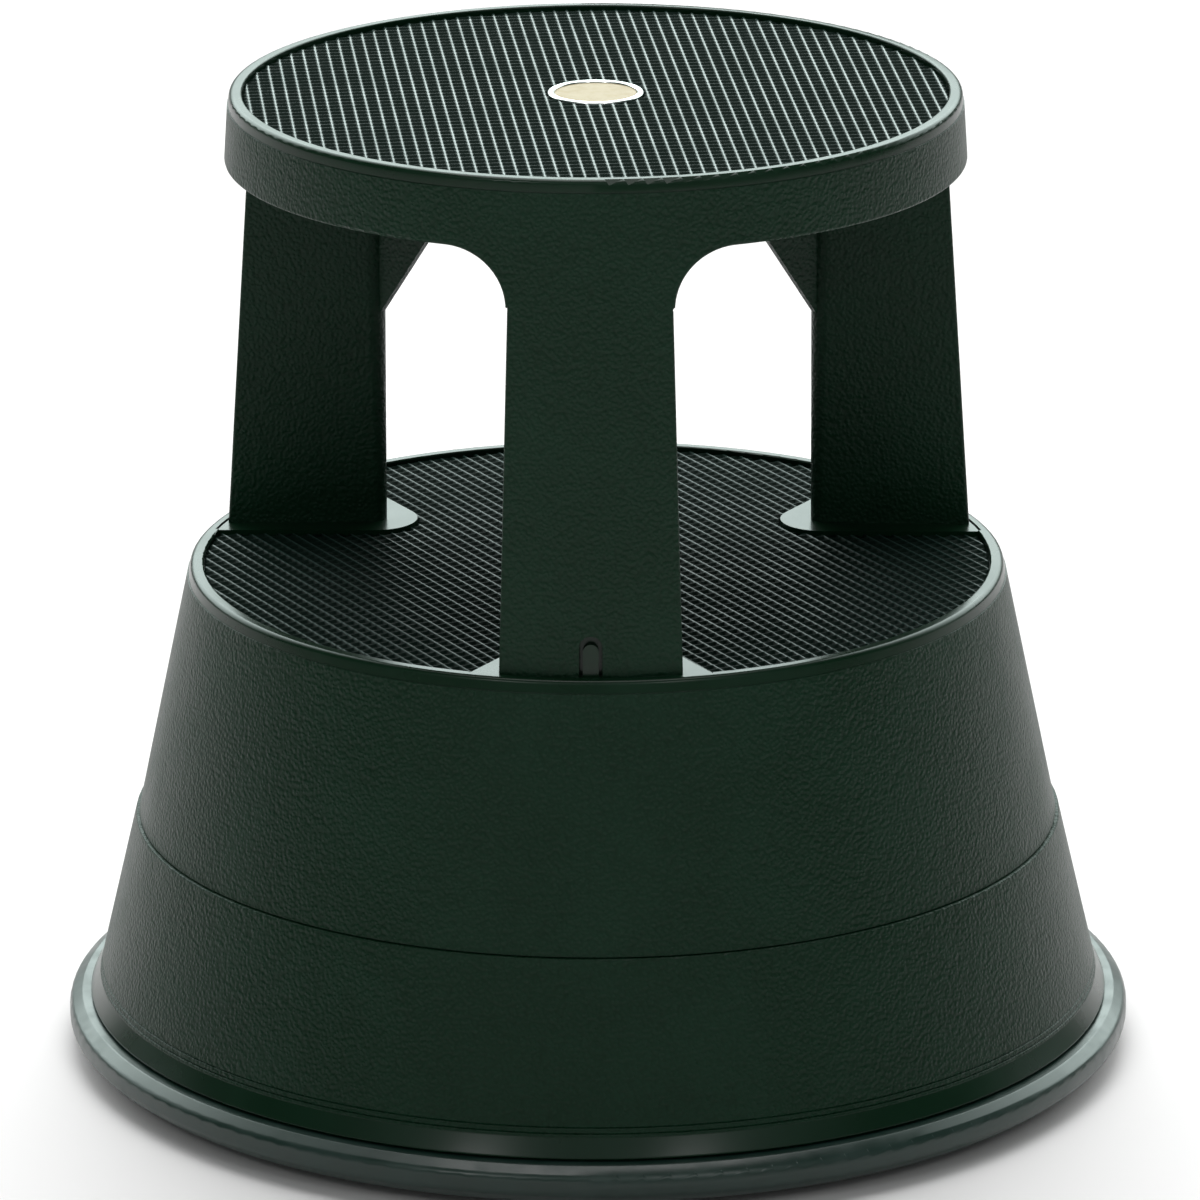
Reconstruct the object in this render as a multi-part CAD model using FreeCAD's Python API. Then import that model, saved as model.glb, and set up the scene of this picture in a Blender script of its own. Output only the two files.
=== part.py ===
"""Rolling step stool: two round steps, a conical base with a rubber ring, and three sprung castors.

Own frame: +Z up, the floor at Z = 0, the origin on the floor under the middle of the stool, and the
front leg towards -Y. All sizes are in millimetres and all angles in degrees. The stool stands on its
castors, unloaded, so its rubber ring hangs just clear of the floor.
"""
import FreeCAD
import Part
import math
import os

from FreeCAD import Vector

# ---- overall sizes ----
top_height = 413.0          # floor to the top step's rim
low_height = 211.0          # floor to the lower step's rim
base_radius = 225.0         # outside of the rubber ring
ride_height = 6.0           # floor to the underside of the rubber ring
top_radius = 151.8          # top step, at its rim
deck_radius = 170.8         # lower step, at its rim

# ---- mouldings ----
wall = 3.5                  # skirts, cones and legs
panel = 3.5                 # step panels
rib = 2.5                   # stiffening ribs
gap = 0.4                   # between neighbouring mouldings
tiny = 0.01                 # smallest run that is drawn as an edge
overcut = 2.0               # how far a cutting shape passes the faces it cuts

# ---- rims of both steps ----
rim_band = 5.3              # smooth band under the rim
rim_step = 0.4              # how far the band stands back from the grained skirt
rim_round = 2.2             # outer edge of the rim
rim_edge = 0.8              # inner edge of the rim
rim_width = 5.8             # rim, from its inner edge to the outside
recess_depth = 5.0          # seat of a tread below the rim

# ---- treads ----
tread_thick = 3.2
tread_edge = 0.6            # rounding of a tread's upper edge

# ---- top step ----
skirt_height = 29.0         # rim to the skirt's lower edge
top_rib_depth = 12.0
top_rib_spread = 40.0       # angle from a leg to the ribs beside it
hub_rib_radius = 60.0       # ring rib under both steps

# ---- badge ----
badge_radius = 20.0         # outside of the bezel
bezel_width = 3.0
bezel_floor = 1.2
bezel_stand = 0.4           # crest of the bezel above the tread
badge_thick = 1.6
badge_play = 0.1
badge_edge = 0.1            # rounding of the disc's upper edge
stem_radius = 6.0           # snap stem that holds the bezel in the panel
stem_barb = 0.8
stem_tail = 2.5             # stem below the barb
boss_radius = 11.0          # boss round the stem
boss_depth = 6.0

# ---- legs ----
leg_angles = {"front": -90.0, "right": 30.0, "left": 150.0}
leg_half_angle = 32.0       # half of the V
leg_nose_tip = 105.1        # radius at which the V's rounded nose starts
leg_nose_foot = 5.4         # nose radius at the lower step
leg_nose_top = 9.6          # nose radius under the top step, larger by the mould's draft
window_round = 1.2          # outer edges of the windows between the legs
core_nose = 1.2             # smallest nose radius of a hollow
arch_radius = 24.0          # corner between a leg and the skirt
gusset_drop = 110.4         # rim to the point where the web leaves the nose
gusset_angle = 56.0         # web's lower edge above the horizontal
gusset_thick = 4.0

# ---- joint between legs and lower step ----
island_half_angle = 30.0
island_margin = 13.0        # island beyond the leg, round the nose
island_sink = 0.5           # islands below the rim
island_clear = 0.8          # groove between an island and the rim
groove_depth = 2.0
spigot_height = 20.0
spigot_wall = 2.6
leg_web = 3.0               # rib inside a leg that carries the screw bosses
leg_boss_radius = 5.5
leg_boss_height = 42.0
leg_screw_inner_inset = 36.0  # screws, inside the leg's outer face
leg_screw_outer_inset = 18.0
notch_width = 9.5           # opening at the foot of a leg's outer face
notch_height = 17.0
tongue_width = 6.4          # latch tongue in that opening
tongue_height = 13.5
tongue_back = 0.6           # tongue behind the leg's outer face

# ---- lower step and its cone ----
seam_height = 101.8         # seam between the two cone mouldings
seam_inset = 29.9           # lower moulding at the seam, inside the ring's outside
seam_proud = 1.3            # lower moulding outside the upper one
seam_gap = 0.5
seam_round = 0.8
tongue_ring = 2.5           # thickness of the ring that enters the lower moulding
tongue_ring_depth = 13.8
low_rib_depth = 18.0
low_rib_spread = 24.0

# ---- base skirt ----
flare_height = 31.2         # where the cone ends and the foot flares
flare_inset = 13.2
foot_height = 22.9
foot_inset = 8.7
line_depth = 0.5            # double line above the flare
line_width = 0.9
line_pitch = 2.4
edge_wall = 3.4             # wall that the rubber ring grips
edge_inset = 11.8           # outside of that wall, inside the ring's outside
edge_low = 12.4

# ---- rubber ring ----
ring_nose_low = 11.0        # the ring's outermost face, before its corners are rounded
ring_nose_high = 18.6
ring_nose_round = 4.2
ring_top = 22.2
shoulder_inset = 5.5        # where the upper side starts to fall outwards
floor_inset = 6.5           # outside of the flat that meets the floor
inner_inset = 19.4          # inside of the ring
ring_round = 1.5
ring_lip_top = 20.0

# ---- screws ----
screw_radius = 2.0
screw_head_radius = 4.0
screw_head = 2.8
screw_drive = 1.1           # width of the cross recess
screw_drive_reach = 2.4
screw_drive_depth = 1.4
screw_hole_play = 0.4       # clearance holes
thread_play = 0.05          # holes that the screws bite into
screw_grip = 16.0           # length in the second piece
screw_slot_turn = 90.0      # between the two slots of the cross

# ---- joint between the two cone mouldings ----
ear_count = 6
ear_offset = 0.0            # angle of the first ear
ear_thick = 4.0
ear_width = 18.0
ear_inset = 17.6            # inner end of an ear, inside the seam
ear_screw_inset = 11.1
block_width = 13.0
block_height = 26.0

# ---- castor frame ----
frame_above_bush = 12.0     # frame's underside above the bush's flange
frame_thick = 6.0
arm_width = 44.0
frame_hub_radius = 46.0
frame_hub_bore = 30.0
arm_rib_depth = 12.0
arm_rib_clear = 6.0         # arm ribs short of the castor's pad
arm_spine_height = 12.0
arm_end_clear = 1.0
pad_margin = 6.0            # pad beyond the housing's flange
ledge_depth = 10.0          # ledges of the base skirt that carry the arms
ledge_inset = 44.0          # inner end of a ledge, inside the ring's outside
frame_screw_inset = 34.5
frame_screw_spread = 13.0

# ---- castors ----
castor_inset = 67.0         # swivel axes, inside the ring's outside
castor_heading = 90.0       # trail direction from the arm's direction
castor_travel = 8.0
wheel_radius = 16.0
wheel_width = 14.0
tyre_thick = 5.5
cheek_clear = 0.3           # hub's boss to a cheek
hub_boss_radius = 5.0
tyre_round = 3.4
trail = 12.0
axle_radius = 2.5
axle_head_radius = 4.2
axle_head = 1.5
running = 0.05              # radial clearance of a running fit
crown_clear = 2.0           # wheel to the crown
crown_thick = 4.0
crown_back = 13.0
crown_front = 14.0
crown_round = 6.0
cheek_room = 1.5            # wheel's side to a cheek
cheek_thick = 3.0
cheek_back = 9.0
cheek_drop = 6.0            # cheek's full-width height below the crown's top
cheek_foot = 7.0            # cheek beyond the axle
cheek_round = 4.5
kingpin_radius = 4.0
kingpin_head_radius = 5.5
kingpin_head = 2.0
kingpin_length = 28.0       # above the crown
snap_ring_drop = 5.9        # ring's groove below the kingpin's top
snap_ring_thick = 1.0
snap_ring_depth = 0.7       # groove in the kingpin
snap_ring_stand = 1.2       # ring outside the kingpin
snap_ring_play = 0.3
washer_thick = 1.2
washer_margin = 3.0         # washer outside the plunger
washer_play = 0.2
plunger_radius = 7.0
plunger_tail = 2.0          # plunger above the housing's cap
plunger_chamfer = 1.0
bore_spare = 1.0            # bore above the kingpin
collar_margin = 0.6         # collar outside the spring
collar_play = 0.2           # collar above the bush
collar_thick = 3.8
collar_room = 1.2           # collar to the housing's bore
bush_clear = 2.0            # crown, at the end of its travel, to the bush
bush_length = 10.0
bush_flange = 2.0
bush_margin = 3.0           # bush's flange outside the housing
housing_wall = 3.0
housing_play = 0.3          # housing in the frame's hole
housing_cap = 8.0
housing_flange = 4.0
housing_flange_clear = 1.0  # flange to the heads of the frame's screws
housing_screw_offset = 2.0  # screws outside the flange's middle
housing_screw_count = 3
spring_wire = 1.0           # radius of the wire
spring_length = 34.0
spring_clear = 1.2          # wire to the plunger
spring_turns = 5.5
spring_play = 0.1

# ---- worked out from the sizes above: steps and legs ----
leg_foot_radius = deck_radius - rim_width
leg_reach = leg_foot_radius + base_radius
leg_screw_inner = leg_foot_radius - leg_screw_inner_inset
leg_screw_outer = leg_foot_radius - leg_screw_outer_inset
leg_screw_radii = [leg_screw_inner, leg_screw_outer]
island_nose = leg_nose_foot + island_margin
island_nose_centre = leg_nose_tip + leg_nose_foot
top_seat = top_height - recess_depth
top_under = top_seat - panel
skirt_low = top_height - skirt_height
gusset_low = top_height - gusset_drop
deck_seat = low_height - recess_depth
deck_under = deck_seat - panel
island_top = low_height - island_sink

# ---- worked out: cones and base ----
seam_radius = base_radius - seam_inset
flare_radius = base_radius - flare_inset
foot_radius = base_radius - foot_inset
edge_radius = base_radius - edge_inset
ear_radius = seam_radius - ear_inset
ear_screw_radius = seam_radius - ear_screw_inset
ear_top = seam_height - tongue_ring_depth
upper_slope = (leg_foot_radius - top_radius) / (top_height - low_height)
deck_slope = (seam_radius - seam_proud - deck_radius) / (low_height - seam_height)
skirt_slope = (flare_radius - seam_radius) / (seam_height - flare_height)

# ---- worked out: castors, stacked up from the wheel ----
castor_radius = base_radius - castor_inset
wheel_hub_radius = wheel_radius - tyre_thick
cheek_inner = wheel_width / 2 + cheek_room
hub_face = cheek_inner - cheek_clear
crown_low = 2 * wheel_radius + crown_clear
crown_top = crown_low + crown_thick
kingpin_top = crown_top + kingpin_length
snap_ring_low = kingpin_top - snap_ring_drop
snap_ring_radius = kingpin_radius + snap_ring_stand
washer_radius = plunger_radius + washer_margin
spring_radius = plunger_radius + spring_clear + spring_wire
collar_radius = spring_radius + spring_wire + collar_margin
bush_radius = collar_radius + collar_room
housing_radius = bush_radius + housing_wall
bush_flange_radius = housing_radius + bush_margin
frame_screw_radius = base_radius - frame_screw_inset
frame_screw_reach = math.hypot(frame_screw_radius - castor_radius, frame_screw_spread)
housing_flange_radius = frame_screw_reach - screw_head_radius - housing_flange_clear
housing_screw_circle = (housing_radius + housing_flange_radius) / 2 + housing_screw_offset
bush_low = crown_top + castor_travel + bush_clear
bush_top = bush_low + bush_length
collar_low = bush_top + collar_play
housing_cap_low = collar_low + collar_thick + spring_length
plunger_top = housing_cap_low + housing_cap + plunger_tail

# ---- worked out: castor frame ----
frame_low = bush_low + frame_above_bush
frame_top = frame_low + frame_thick
arm_rib_low = frame_low - arm_rib_depth
pad_radius = housing_flange_radius + pad_margin
arm_rib_end = castor_radius - pad_radius - arm_rib_clear
ledge_radius = base_radius - ledge_inset


def upper_r(z):
    """Outside radius of the top skirt and of the legs' outer faces at height z."""
    return leg_foot_radius - (z - low_height) * upper_slope


def deck_r(z):
    """Outside radius of the upper cone at height z."""
    return deck_radius + (low_height - z) * deck_slope


def skirt_r(z):
    """Outside radius of the lower cone at height z."""
    return seam_radius + (seam_height - z) * skirt_slope


def rounded_wire(corners, place):
    """Closed wire through corners (u, v, radius), each rounded by its own radius."""
    bends = []
    for index, (u, v, radius) in enumerate(corners):
        here = Vector(u, v, 0)
        back = Vector(*corners[index - 1][:2], 0) - here
        ahead = Vector(*corners[(index + 1) % len(corners)][:2], 0) - here
        half = back.getAngle(ahead) / 2
        back.normalize()
        ahead.normalize()
        reach = radius / math.tan(half)
        inward = back + ahead
        if radius > 0:
            inward.normalize()
        middle = here + inward * (radius / math.sin(half) - radius)
        bends.append((here + back * reach, middle, here + ahead * reach, radius))
    edges = []
    for index, (first, middle, last, radius) in enumerate(bends):
        if radius > 0:
            edges.append(Part.Arc(place(first), place(middle), place(last)).toShape())
        following = bends[(index + 1) % len(bends)][0]
        if last.distanceToPoint(following) > tiny:
            edges.append(Part.LineSegment(place(last), place(following)).toShape())
    return Part.Wire(edges)


def revolved(corners):
    """Solid of revolution about Z; the corners are (radius, height, rounding)."""
    wire = rounded_wire(corners, lambda p: Vector(p.x, 0, p.y))
    return Part.Face(wire).revolve(Vector(0, 0, 0), Vector(0, 0, 1), 360)


def plate(corners, low, high):
    """Plate between two heights; the corners are (x, y, rounding)."""
    wire = rounded_wire(corners, lambda p: Vector(p.x, p.y, low))
    return Part.Face(wire).extrude(Vector(0, 0, high - low))


def upright(corners, half_thick):
    """Upright plate on the XZ plane, half_thick to each side; the corners are (x, z, rounding)."""
    wire = rounded_wire(corners, lambda p: Vector(p.x, -half_thick, p.y))
    return Part.Face(wire).extrude(Vector(0, 2 * half_thick, 0))


def rod(radius, low, high, x=0.0, y=0.0):
    """Upright cylinder between two heights."""
    return Part.makeCylinder(radius, high - low, Vector(x, y, low))


def block(x0, x1, half_width, low, high):
    """Box along X, half_width to each side of the XZ plane."""
    return Part.makeBox(x1 - x0, 2 * half_width, high - low, Vector(x0, -half_width, low))


def cone_core(radius_at, low, high, inset=0.0):
    """Solid cone that follows radius_at(z), inset by a wall."""
    return Part.makeCone(radius_at(low) - inset, radius_at(high) - inset, high - low, Vector(0, 0, low))


def turned(shape, angle):
    """Copy of a shape turned about Z."""
    copy = shape.copy()
    copy.rotate(Vector(0, 0, 0), Vector(0, 0, 1), angle)
    return copy


def round_legs(shape):
    """The shape, made for a leg along +X, at each of the three legs."""
    return [turned(shape, angle) for angle in leg_angles.values()]


def joined(shapes):
    """One solid from several that overlap."""
    return shapes[0].multiFuse(shapes[1:]).removeSplitter()


def group(shapes):
    """Several separate solids in one node."""
    return Part.makeCompound(shapes)


def screw(low, grip_top, x, y=0.0):
    """Pan-head screw pointing up: head below low, shank up to grip_top, cross recess in the head."""
    head_low = low - screw_head
    body = revolved([
        (0, head_low, 0),
        (screw_head_radius, head_low, screw_head / 2),
        (screw_head_radius, low, 0),
        (screw_radius, low, 0),
        (screw_radius, grip_top - screw_radius, 0),
        (0, grip_top, 0)])
    for angle in (0, screw_slot_turn):
        slot = block(-screw_drive_reach, screw_drive_reach, screw_drive / 2,
                     head_low - overcut, head_low + screw_drive_depth)
        body = body.cut(turned(slot, angle))
    body.translate(Vector(x, y, 0))
    return body


def flipped(shape, height):
    """A shape turned upside down about a horizontal line at the given height."""
    copy = shape.copy()
    copy.rotate(Vector(0, 0, height), Vector(1, 0, 0), 180)
    return copy


# ---- legs ----

def nose_at(z):
    """Nose radius of a leg at height z."""
    share = (z - low_height) / (top_under - low_height)
    return leg_nose_foot + (leg_nose_top - leg_nose_foot) * share


def leg_section(z, inset):
    """V outline of a leg along +X at height z, inset by a wall."""
    half = math.radians(leg_half_angle)
    nose = nose_at(z)
    apex = leg_nose_tip - nose * (1 / math.sin(half) - 1) + inset / math.sin(half)
    spread = (leg_reach - apex) * math.tan(half)
    corners = [(apex, 0, max(nose - inset, core_nose)), (leg_reach, -spread, 0), (leg_reach, spread, 0)]
    return rounded_wire(corners, lambda p: Vector(p.x, p.y, z))


def leg_prism(low, high, inset=0.0):
    """V prism of a leg along +X between two heights, open-ended outwards."""
    return Part.makeLoft([leg_section(low, inset), leg_section(high, inset)], True, True)


def leg_core(low, high, inset=0.0):
    """Leg along +X between two heights, with its outer face on the stool's upper cone."""
    return leg_prism(low, high, inset).common(cone_core(upper_r, low, high, inset))


def leg_half_width(z):
    """Half width of a leg's outer face at height z."""
    half = math.radians(leg_half_angle)
    apex = leg_nose_tip - nose_at(z) * (1 / math.sin(half) - 1)
    slope = math.tan(half)
    outer = upper_r(z)
    a = 1 + slope ** 2
    b = -2 * apex * slope ** 2
    c = (slope * apex) ** 2 - outer ** 2
    across = (-b + math.sqrt(b ** 2 - 4 * a * c)) / (2 * a)
    return (across - apex) * slope


def arch_corners():
    """Blocks that leave a rounded corner between each side of a leg along +X and the skirt."""
    low = skirt_low - arch_radius
    side = leg_half_width(low)
    corners = []
    for sign in (1, -1):
        near = sign * (side - wall)
        far = sign * (side + arch_radius)
        box = Part.makeBox(base_radius, abs(far - near), arch_radius + overcut,
                           Vector(0, min(near, far), low))
        start = Vector(-overcut, far, low)
        round_cut = Part.makeCylinder(arch_radius, 2 * base_radius, start, Vector(1, 0, 0))
        beyond_nose = rod(base_radius, low, skirt_low).cut(rod(leg_nose_tip, low, skirt_low))
        corners.append(box.cut(round_cut).common(beyond_nose))
    return corners


def windows():
    """What is cut away between the legs below the skirt."""
    low = island_top - overcut
    space = rod(base_radius, low, skirt_low)
    for leg in round_legs(leg_prism(low, top_under + overcut)):
        space = space.cut(leg)
    for corner in arch_corners():
        for copy in round_legs(corner):
            space = space.cut(copy)
    return space


def inner_room():
    """What is cut away inside the skirt between the legs, up to the top panel."""
    low = island_top - overcut
    space = cone_core(upper_r, low, top_under, wall)
    for leg in round_legs(leg_prism(low, top_under + overcut)):
        space = space.cut(leg)
    return space


def softened(shell):
    """The shell with the outer edges of its three windows rounded."""
    edges = []
    for edge in shell.Edges:
        middle = edge.valueAt((edge.FirstParameter + edge.LastParameter) / 2)
        on_cone = abs(math.hypot(middle.x, middle.y) - upper_r(middle.z)) < tiny
        if on_cone and island_top + tiny < middle.z < skirt_low + tiny:
            edges.append(edge)
    return shell.makeFillet(window_round, edges)


def gusset():
    """Web on the leg's middle plane from the nose up to the top panel."""
    rise = top_under - gusset_low
    run = rise / math.tan(math.radians(gusset_angle))
    inside = leg_nose_tip + wall / 2
    return upright([
        (inside, gusset_low, 0),
        (inside, top_under + tiny, 0),
        (leg_nose_tip - run, top_under + tiny, 0),
        (leg_nose_tip, gusset_low, 0)], gusset_thick / 2)


def upper_step_shell():
    """Top step, skirt, three hollow legs, gussets and the ribs underneath."""
    band_low = top_height - rim_band
    rim_inner = top_radius - rim_width
    solid = revolved([
        (0, island_top, 0),
        (upper_r(island_top), island_top, 0),
        (upper_r(band_low), band_low, 0),
        (upper_r(band_low) - rim_step, band_low, 0),
        (top_radius - rim_step, top_height, rim_round),
        (rim_inner, top_height, rim_edge),
        (rim_inner, top_seat, 0),
        (0, top_seat, 0)])
    shell = softened(solid.cut(inner_room()).cut(windows()))
    for hollow in round_legs(leg_core(island_top - overcut, top_under, wall)):
        shell = shell.cut(hollow)
    pieces = [shell] + round_legs(gusset()) + round_legs(leg_inside())
    skirt_inner = upper_r(top_under) - wall
    for angle in leg_angles.values():
        for turn in (-top_rib_spread, top_rib_spread, 180.0):
            radial = block(boss_radius - rib, skirt_inner + rib / 2, rib / 2,
                           top_under - top_rib_depth, top_under)
            pieces.append(turned(radial, angle + turn))
    pieces.append(ring_rib(top_under, top_rib_depth))
    pieces.append(rod(boss_radius, top_under - boss_depth, top_under))
    shell = joined(pieces)
    cuts = [rod(stem_radius + badge_play, top_under - top_rib_depth - overcut, top_seat + overcut)]
    for radius in leg_screw_radii:
        pilot = rod(screw_radius + thread_play, island_top - overcut,
                    island_top + screw_grip + overcut, radius)
        cuts += round_legs(pilot)
    cuts += round_legs(notch())
    for cut in cuts:
        shell = shell.cut(cut)
    return shell


def leg_inside():
    """Web inside a leg along +X, from the nose to the outer screw boss, with both bosses."""
    inside = [block(leg_nose_tip + wall / 2, leg_screw_outer, leg_web / 2, island_top, top_under)]
    for radius in leg_screw_radii:
        inside.append(rod(leg_boss_radius, island_top, island_top + leg_boss_height, radius))
    return joined(inside)


def ring_rib(top, depth):
    """Round rib under a step's panel."""
    outer = rod(hub_rib_radius + rib / 2, top - depth, top)
    return outer.cut(rod(hub_rib_radius - rib / 2, top - depth - overcut, top + overcut))


def finger(width, height, x0, x1):
    """Round-topped upright block along +X that stands on an island."""
    half = width / 2
    corners = [(-half, island_top, 0), (half, island_top, 0),
               (half, island_top + height, half - tiny), (-half, island_top + height, half - tiny)]
    wire = rounded_wire(corners, lambda p: Vector(x0, p.x, p.y))
    return Part.Face(wire).extrude(Vector(x1 - x0, 0, 0))


def notch():
    """Opening at the foot of a leg's outer face."""
    return finger(notch_width, notch_height, leg_foot_radius - wall - overcut, leg_foot_radius + overcut)


# ---- lower step ----

def island_core(low, high, inset=0.0):
    """V-shaped platform of a leg along +X, inset by a wall."""
    half = math.radians(island_half_angle)
    apex = island_nose_centre - island_nose / math.sin(half) + inset / math.sin(half)
    spread = (leg_reach - apex) * math.tan(half)
    return plate([(apex, 0, island_nose - inset), (leg_reach, -spread, 0), (leg_reach, spread, 0)],
                 low, high)


def leg_spigot():
    """Upstand inside a leg along +X, slotted for the leg's web and clear of its bosses."""
    top = island_top + spigot_height
    outer = leg_core(island_top - tiny, top, wall + gap)
    spigot = outer.cut(leg_core(island_top - tiny, top, wall + gap + spigot_wall))
    spigot = spigot.cut(block(0, leg_screw_outer + leg_boss_radius, leg_web / 2 + gap,
                              island_top, top + overcut))
    for radius in leg_screw_radii:
        spigot = spigot.cut(rod(leg_boss_radius + gap, island_top, top + overcut, radius))
    tongue = finger(tongue_width, tongue_height,
                    leg_foot_radius - wall - gap - spigot_wall, leg_foot_radius - tongue_back)
    tongue = tongue.common(cone_core(upper_r, island_top, top, tongue_back))
    return joined([spigot, tongue])


def lower_step_shell():
    """Lower step with its islands, spigots and ribs, and the upper cone down to the seam."""
    band_low = low_height - rim_band
    rim_inner = deck_radius - rim_width
    ring_outer = skirt_r(seam_height) - wall - gap
    ring_outer_low = skirt_r(ear_top) - wall - gap
    shell = revolved([
        (0, deck_under, 0),
        (deck_r(deck_under) - wall, deck_under, 0),
        (ring_outer - tongue_ring, seam_height, 0),
        (ring_outer_low - tongue_ring, ear_top, 0),
        (ring_outer_low, ear_top, 0),
        (ring_outer, seam_height, 0),
        (deck_r(seam_height), seam_height, 0),
        (deck_r(band_low), band_low, 0),
        (deck_r(band_low) - rim_step, band_low, 0),
        (deck_radius - rim_step, low_height, rim_round),
        (rim_inner, low_height, rim_edge),
        (rim_inner, deck_seat, 0),
        (0, deck_seat, 0)])
    island_edge = leg_foot_radius + island_clear
    moat_edge = island_edge + island_clear
    pieces = [shell]
    pocket_edge = leg_foot_radius - wall
    island = island_core(deck_under, island_top).common(rod(island_edge, deck_under, island_top))
    pieces += round_legs(island)
    inner = deck_r(deck_under) - wall
    for angle in leg_angles.values():
        for turn in (-low_rib_spread, low_rib_spread, 180.0):
            radial = block(hub_rib_radius, inner + rib / 2, rib / 2,
                           deck_under - low_rib_depth, deck_under)
            pieces.append(turned(radial, angle + turn))
    pieces.append(ring_rib(deck_under, low_rib_depth))
    for index in range(ear_count):
        pieces.append(turned(screw_block(), ear_offset + index * 360.0 / ear_count))
    deck = joined(pieces)
    pocket = island_core(deck_under - overcut, island_top - panel, panel)
    pocket = pocket.common(rod(pocket_edge, deck_under - overcut, island_top))
    moat = island_core(island_top - groove_depth, low_height + overcut)
    moat = moat.common(rod(moat_edge, island_top - groove_depth, low_height + overcut))
    moat = moat.cut(rod(island_edge, island_top - groove_depth - overcut, low_height + 2 * overcut))
    shave = island_core(island_top, low_height + overcut)
    shave = shave.common(rod(moat_edge, island_top, low_height + overcut))
    cuts = [pocket, moat, shave]
    for radius in leg_screw_radii:
        cuts.append(rod(screw_radius + screw_hole_play, deck_under - overcut, island_top + overcut,
                        radius))
    for cut in cuts:
        for copy in round_legs(cut):
            deck = deck.cut(copy)
    deck = joined([deck] + round_legs(leg_spigot()))
    for index in range(ear_count):
        pilot = rod(screw_radius + thread_play, ear_top - overcut, ear_top + screw_grip + overcut,
                    ear_screw_radius)
        deck = deck.cut(turned(pilot, ear_offset + index * 360.0 / ear_count))
    return deck


def screw_block():
    """Block inside the cone, along +X, that takes a seam screw."""
    body = block(ear_radius + gap, seam_radius, block_width / 2, ear_top, ear_top + block_height)
    inside = cone_core(deck_r, seam_height, ear_top + block_height, wall / 2)
    ring_radius = skirt_r(seam_height) - wall - gap - tongue_ring / 2
    low_part = rod(ring_radius, ear_top, seam_height)
    return body.common(joined([inside, low_part]))


# ---- base ----

def base_skirt():
    """Lower cone with its flared foot, the ears of the seam and the ledges of the castor frame."""
    top = seam_height - seam_gap
    line_low = flare_height + line_width
    outline = [
        (skirt_r(top) - wall, top, 0),
        (skirt_r(flare_height) - wall, flare_height, 0),
        (edge_radius - edge_wall, foot_height, 0),
        (edge_radius - edge_wall, edge_low, 0),
        (edge_radius, edge_low, 0),
        (edge_radius, foot_height, 0),
        (foot_radius, foot_height, rim_edge),
        (flare_radius, flare_height, 0)]
    for index in range(2):
        low = line_low + index * line_pitch
        outline += [
            (skirt_r(low), low, 0),
            (skirt_r(low + line_width / 2) - line_depth, low + line_width / 2, 0),
            (skirt_r(low + line_width), low + line_width, 0)]
    outline.append((skirt_r(top), top, seam_round))
    pieces = [revolved(outline)]
    inside_low = ear_top - ear_thick
    for index in range(ear_count):
        ear = block(ear_radius, seam_radius + overcut, ear_width / 2, inside_low, ear_top)
        ear = ear.common(cone_core(skirt_r, inside_low, ear_top, wall / 2))
        pieces.append(turned(ear, ear_offset + index * 360.0 / ear_count))
    ledge_low = frame_low - ledge_depth
    ledge = block(ledge_radius, base_radius, arm_width / 2, ledge_low, frame_low)
    pieces += round_legs(ledge.common(cone_core(skirt_r, ledge_low, frame_low, wall / 2)))
    skirt = joined(pieces)
    for index in range(ear_count):
        hole = rod(screw_radius + screw_hole_play, inside_low - overcut, ear_top + overcut,
                   ear_screw_radius)
        skirt = skirt.cut(turned(hole, ear_offset + index * 360.0 / ear_count))
    for sign in (1, -1):
        pilot = rod(screw_radius + thread_play, ledge_low - overcut, frame_low + overcut,
                    frame_screw_radius, sign * frame_screw_spread)
        for copy in round_legs(pilot):
            skirt = skirt.cut(copy)
    return skirt


def bumper_ring():
    """Rubber ring that grips the base skirt's edge in a groove."""
    inner = base_radius - inner_inset
    return revolved([
        (inner, ride_height, ring_round),
        (base_radius - floor_inset, ride_height, ring_round),
        (base_radius, ring_nose_low, ring_nose_round),
        (base_radius, ring_nose_high, ring_nose_round),
        (base_radius - shoulder_inset, ring_top, ring_round),
        (edge_radius, ring_top, 0),
        (edge_radius, edge_low, 0),
        (edge_radius - edge_wall, edge_low, 0),
        (edge_radius - edge_wall, ring_lip_top, 0),
        (inner, ring_lip_top, ring_round)])


def caster_frame():
    """Three-armed frame with an open middle; each arm ends on a ledge and carries a castor."""
    spider = [rod(frame_hub_radius, frame_low, frame_top)]
    end = skirt_r(frame_top) - wall - arm_end_clear
    spine_top = frame_top + arm_spine_height
    for angle in leg_angles.values():
        arm = block(frame_hub_bore, end, arm_width / 2, frame_low, frame_top)
        arm = arm.common(rod(end, frame_low, frame_top))
        pad = rod(pad_radius, frame_low, frame_top, castor_radius)
        pad = pad.common(rod(end, frame_low, frame_top))
        spine = block(frame_hub_radius - rib, castor_radius - pad_radius, rib, frame_top, spine_top)
        parts = [arm, pad, spine]
        for sign in (1, -1):
            side = block(frame_hub_bore + rib, arm_rib_end, rib / 2, arm_rib_low, frame_low)
            side.translate(Vector(0, sign * (arm_width / 2 - rib / 2), 0))
            parts.append(side)
        spider += [turned(part, angle) for part in parts]
    frame = joined(spider).cut(rod(frame_hub_bore, arm_rib_low - overcut, spine_top + overcut))
    holes = [rod(housing_radius + housing_play, frame_low - overcut, frame_top + overcut,
                 castor_radius)]
    for sign in (1, -1):
        holes.append(rod(screw_radius + screw_hole_play, frame_low - overcut, frame_top + overcut,
                         frame_screw_radius, sign * frame_screw_spread))
    for x, y in housing_screw_places():
        holes.append(rod(screw_radius + thread_play, frame_low - overcut, frame_top + overcut, x, y))
    for hole in holes:
        for copy in round_legs(hole):
            frame = frame.cut(copy)
    return frame


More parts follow.
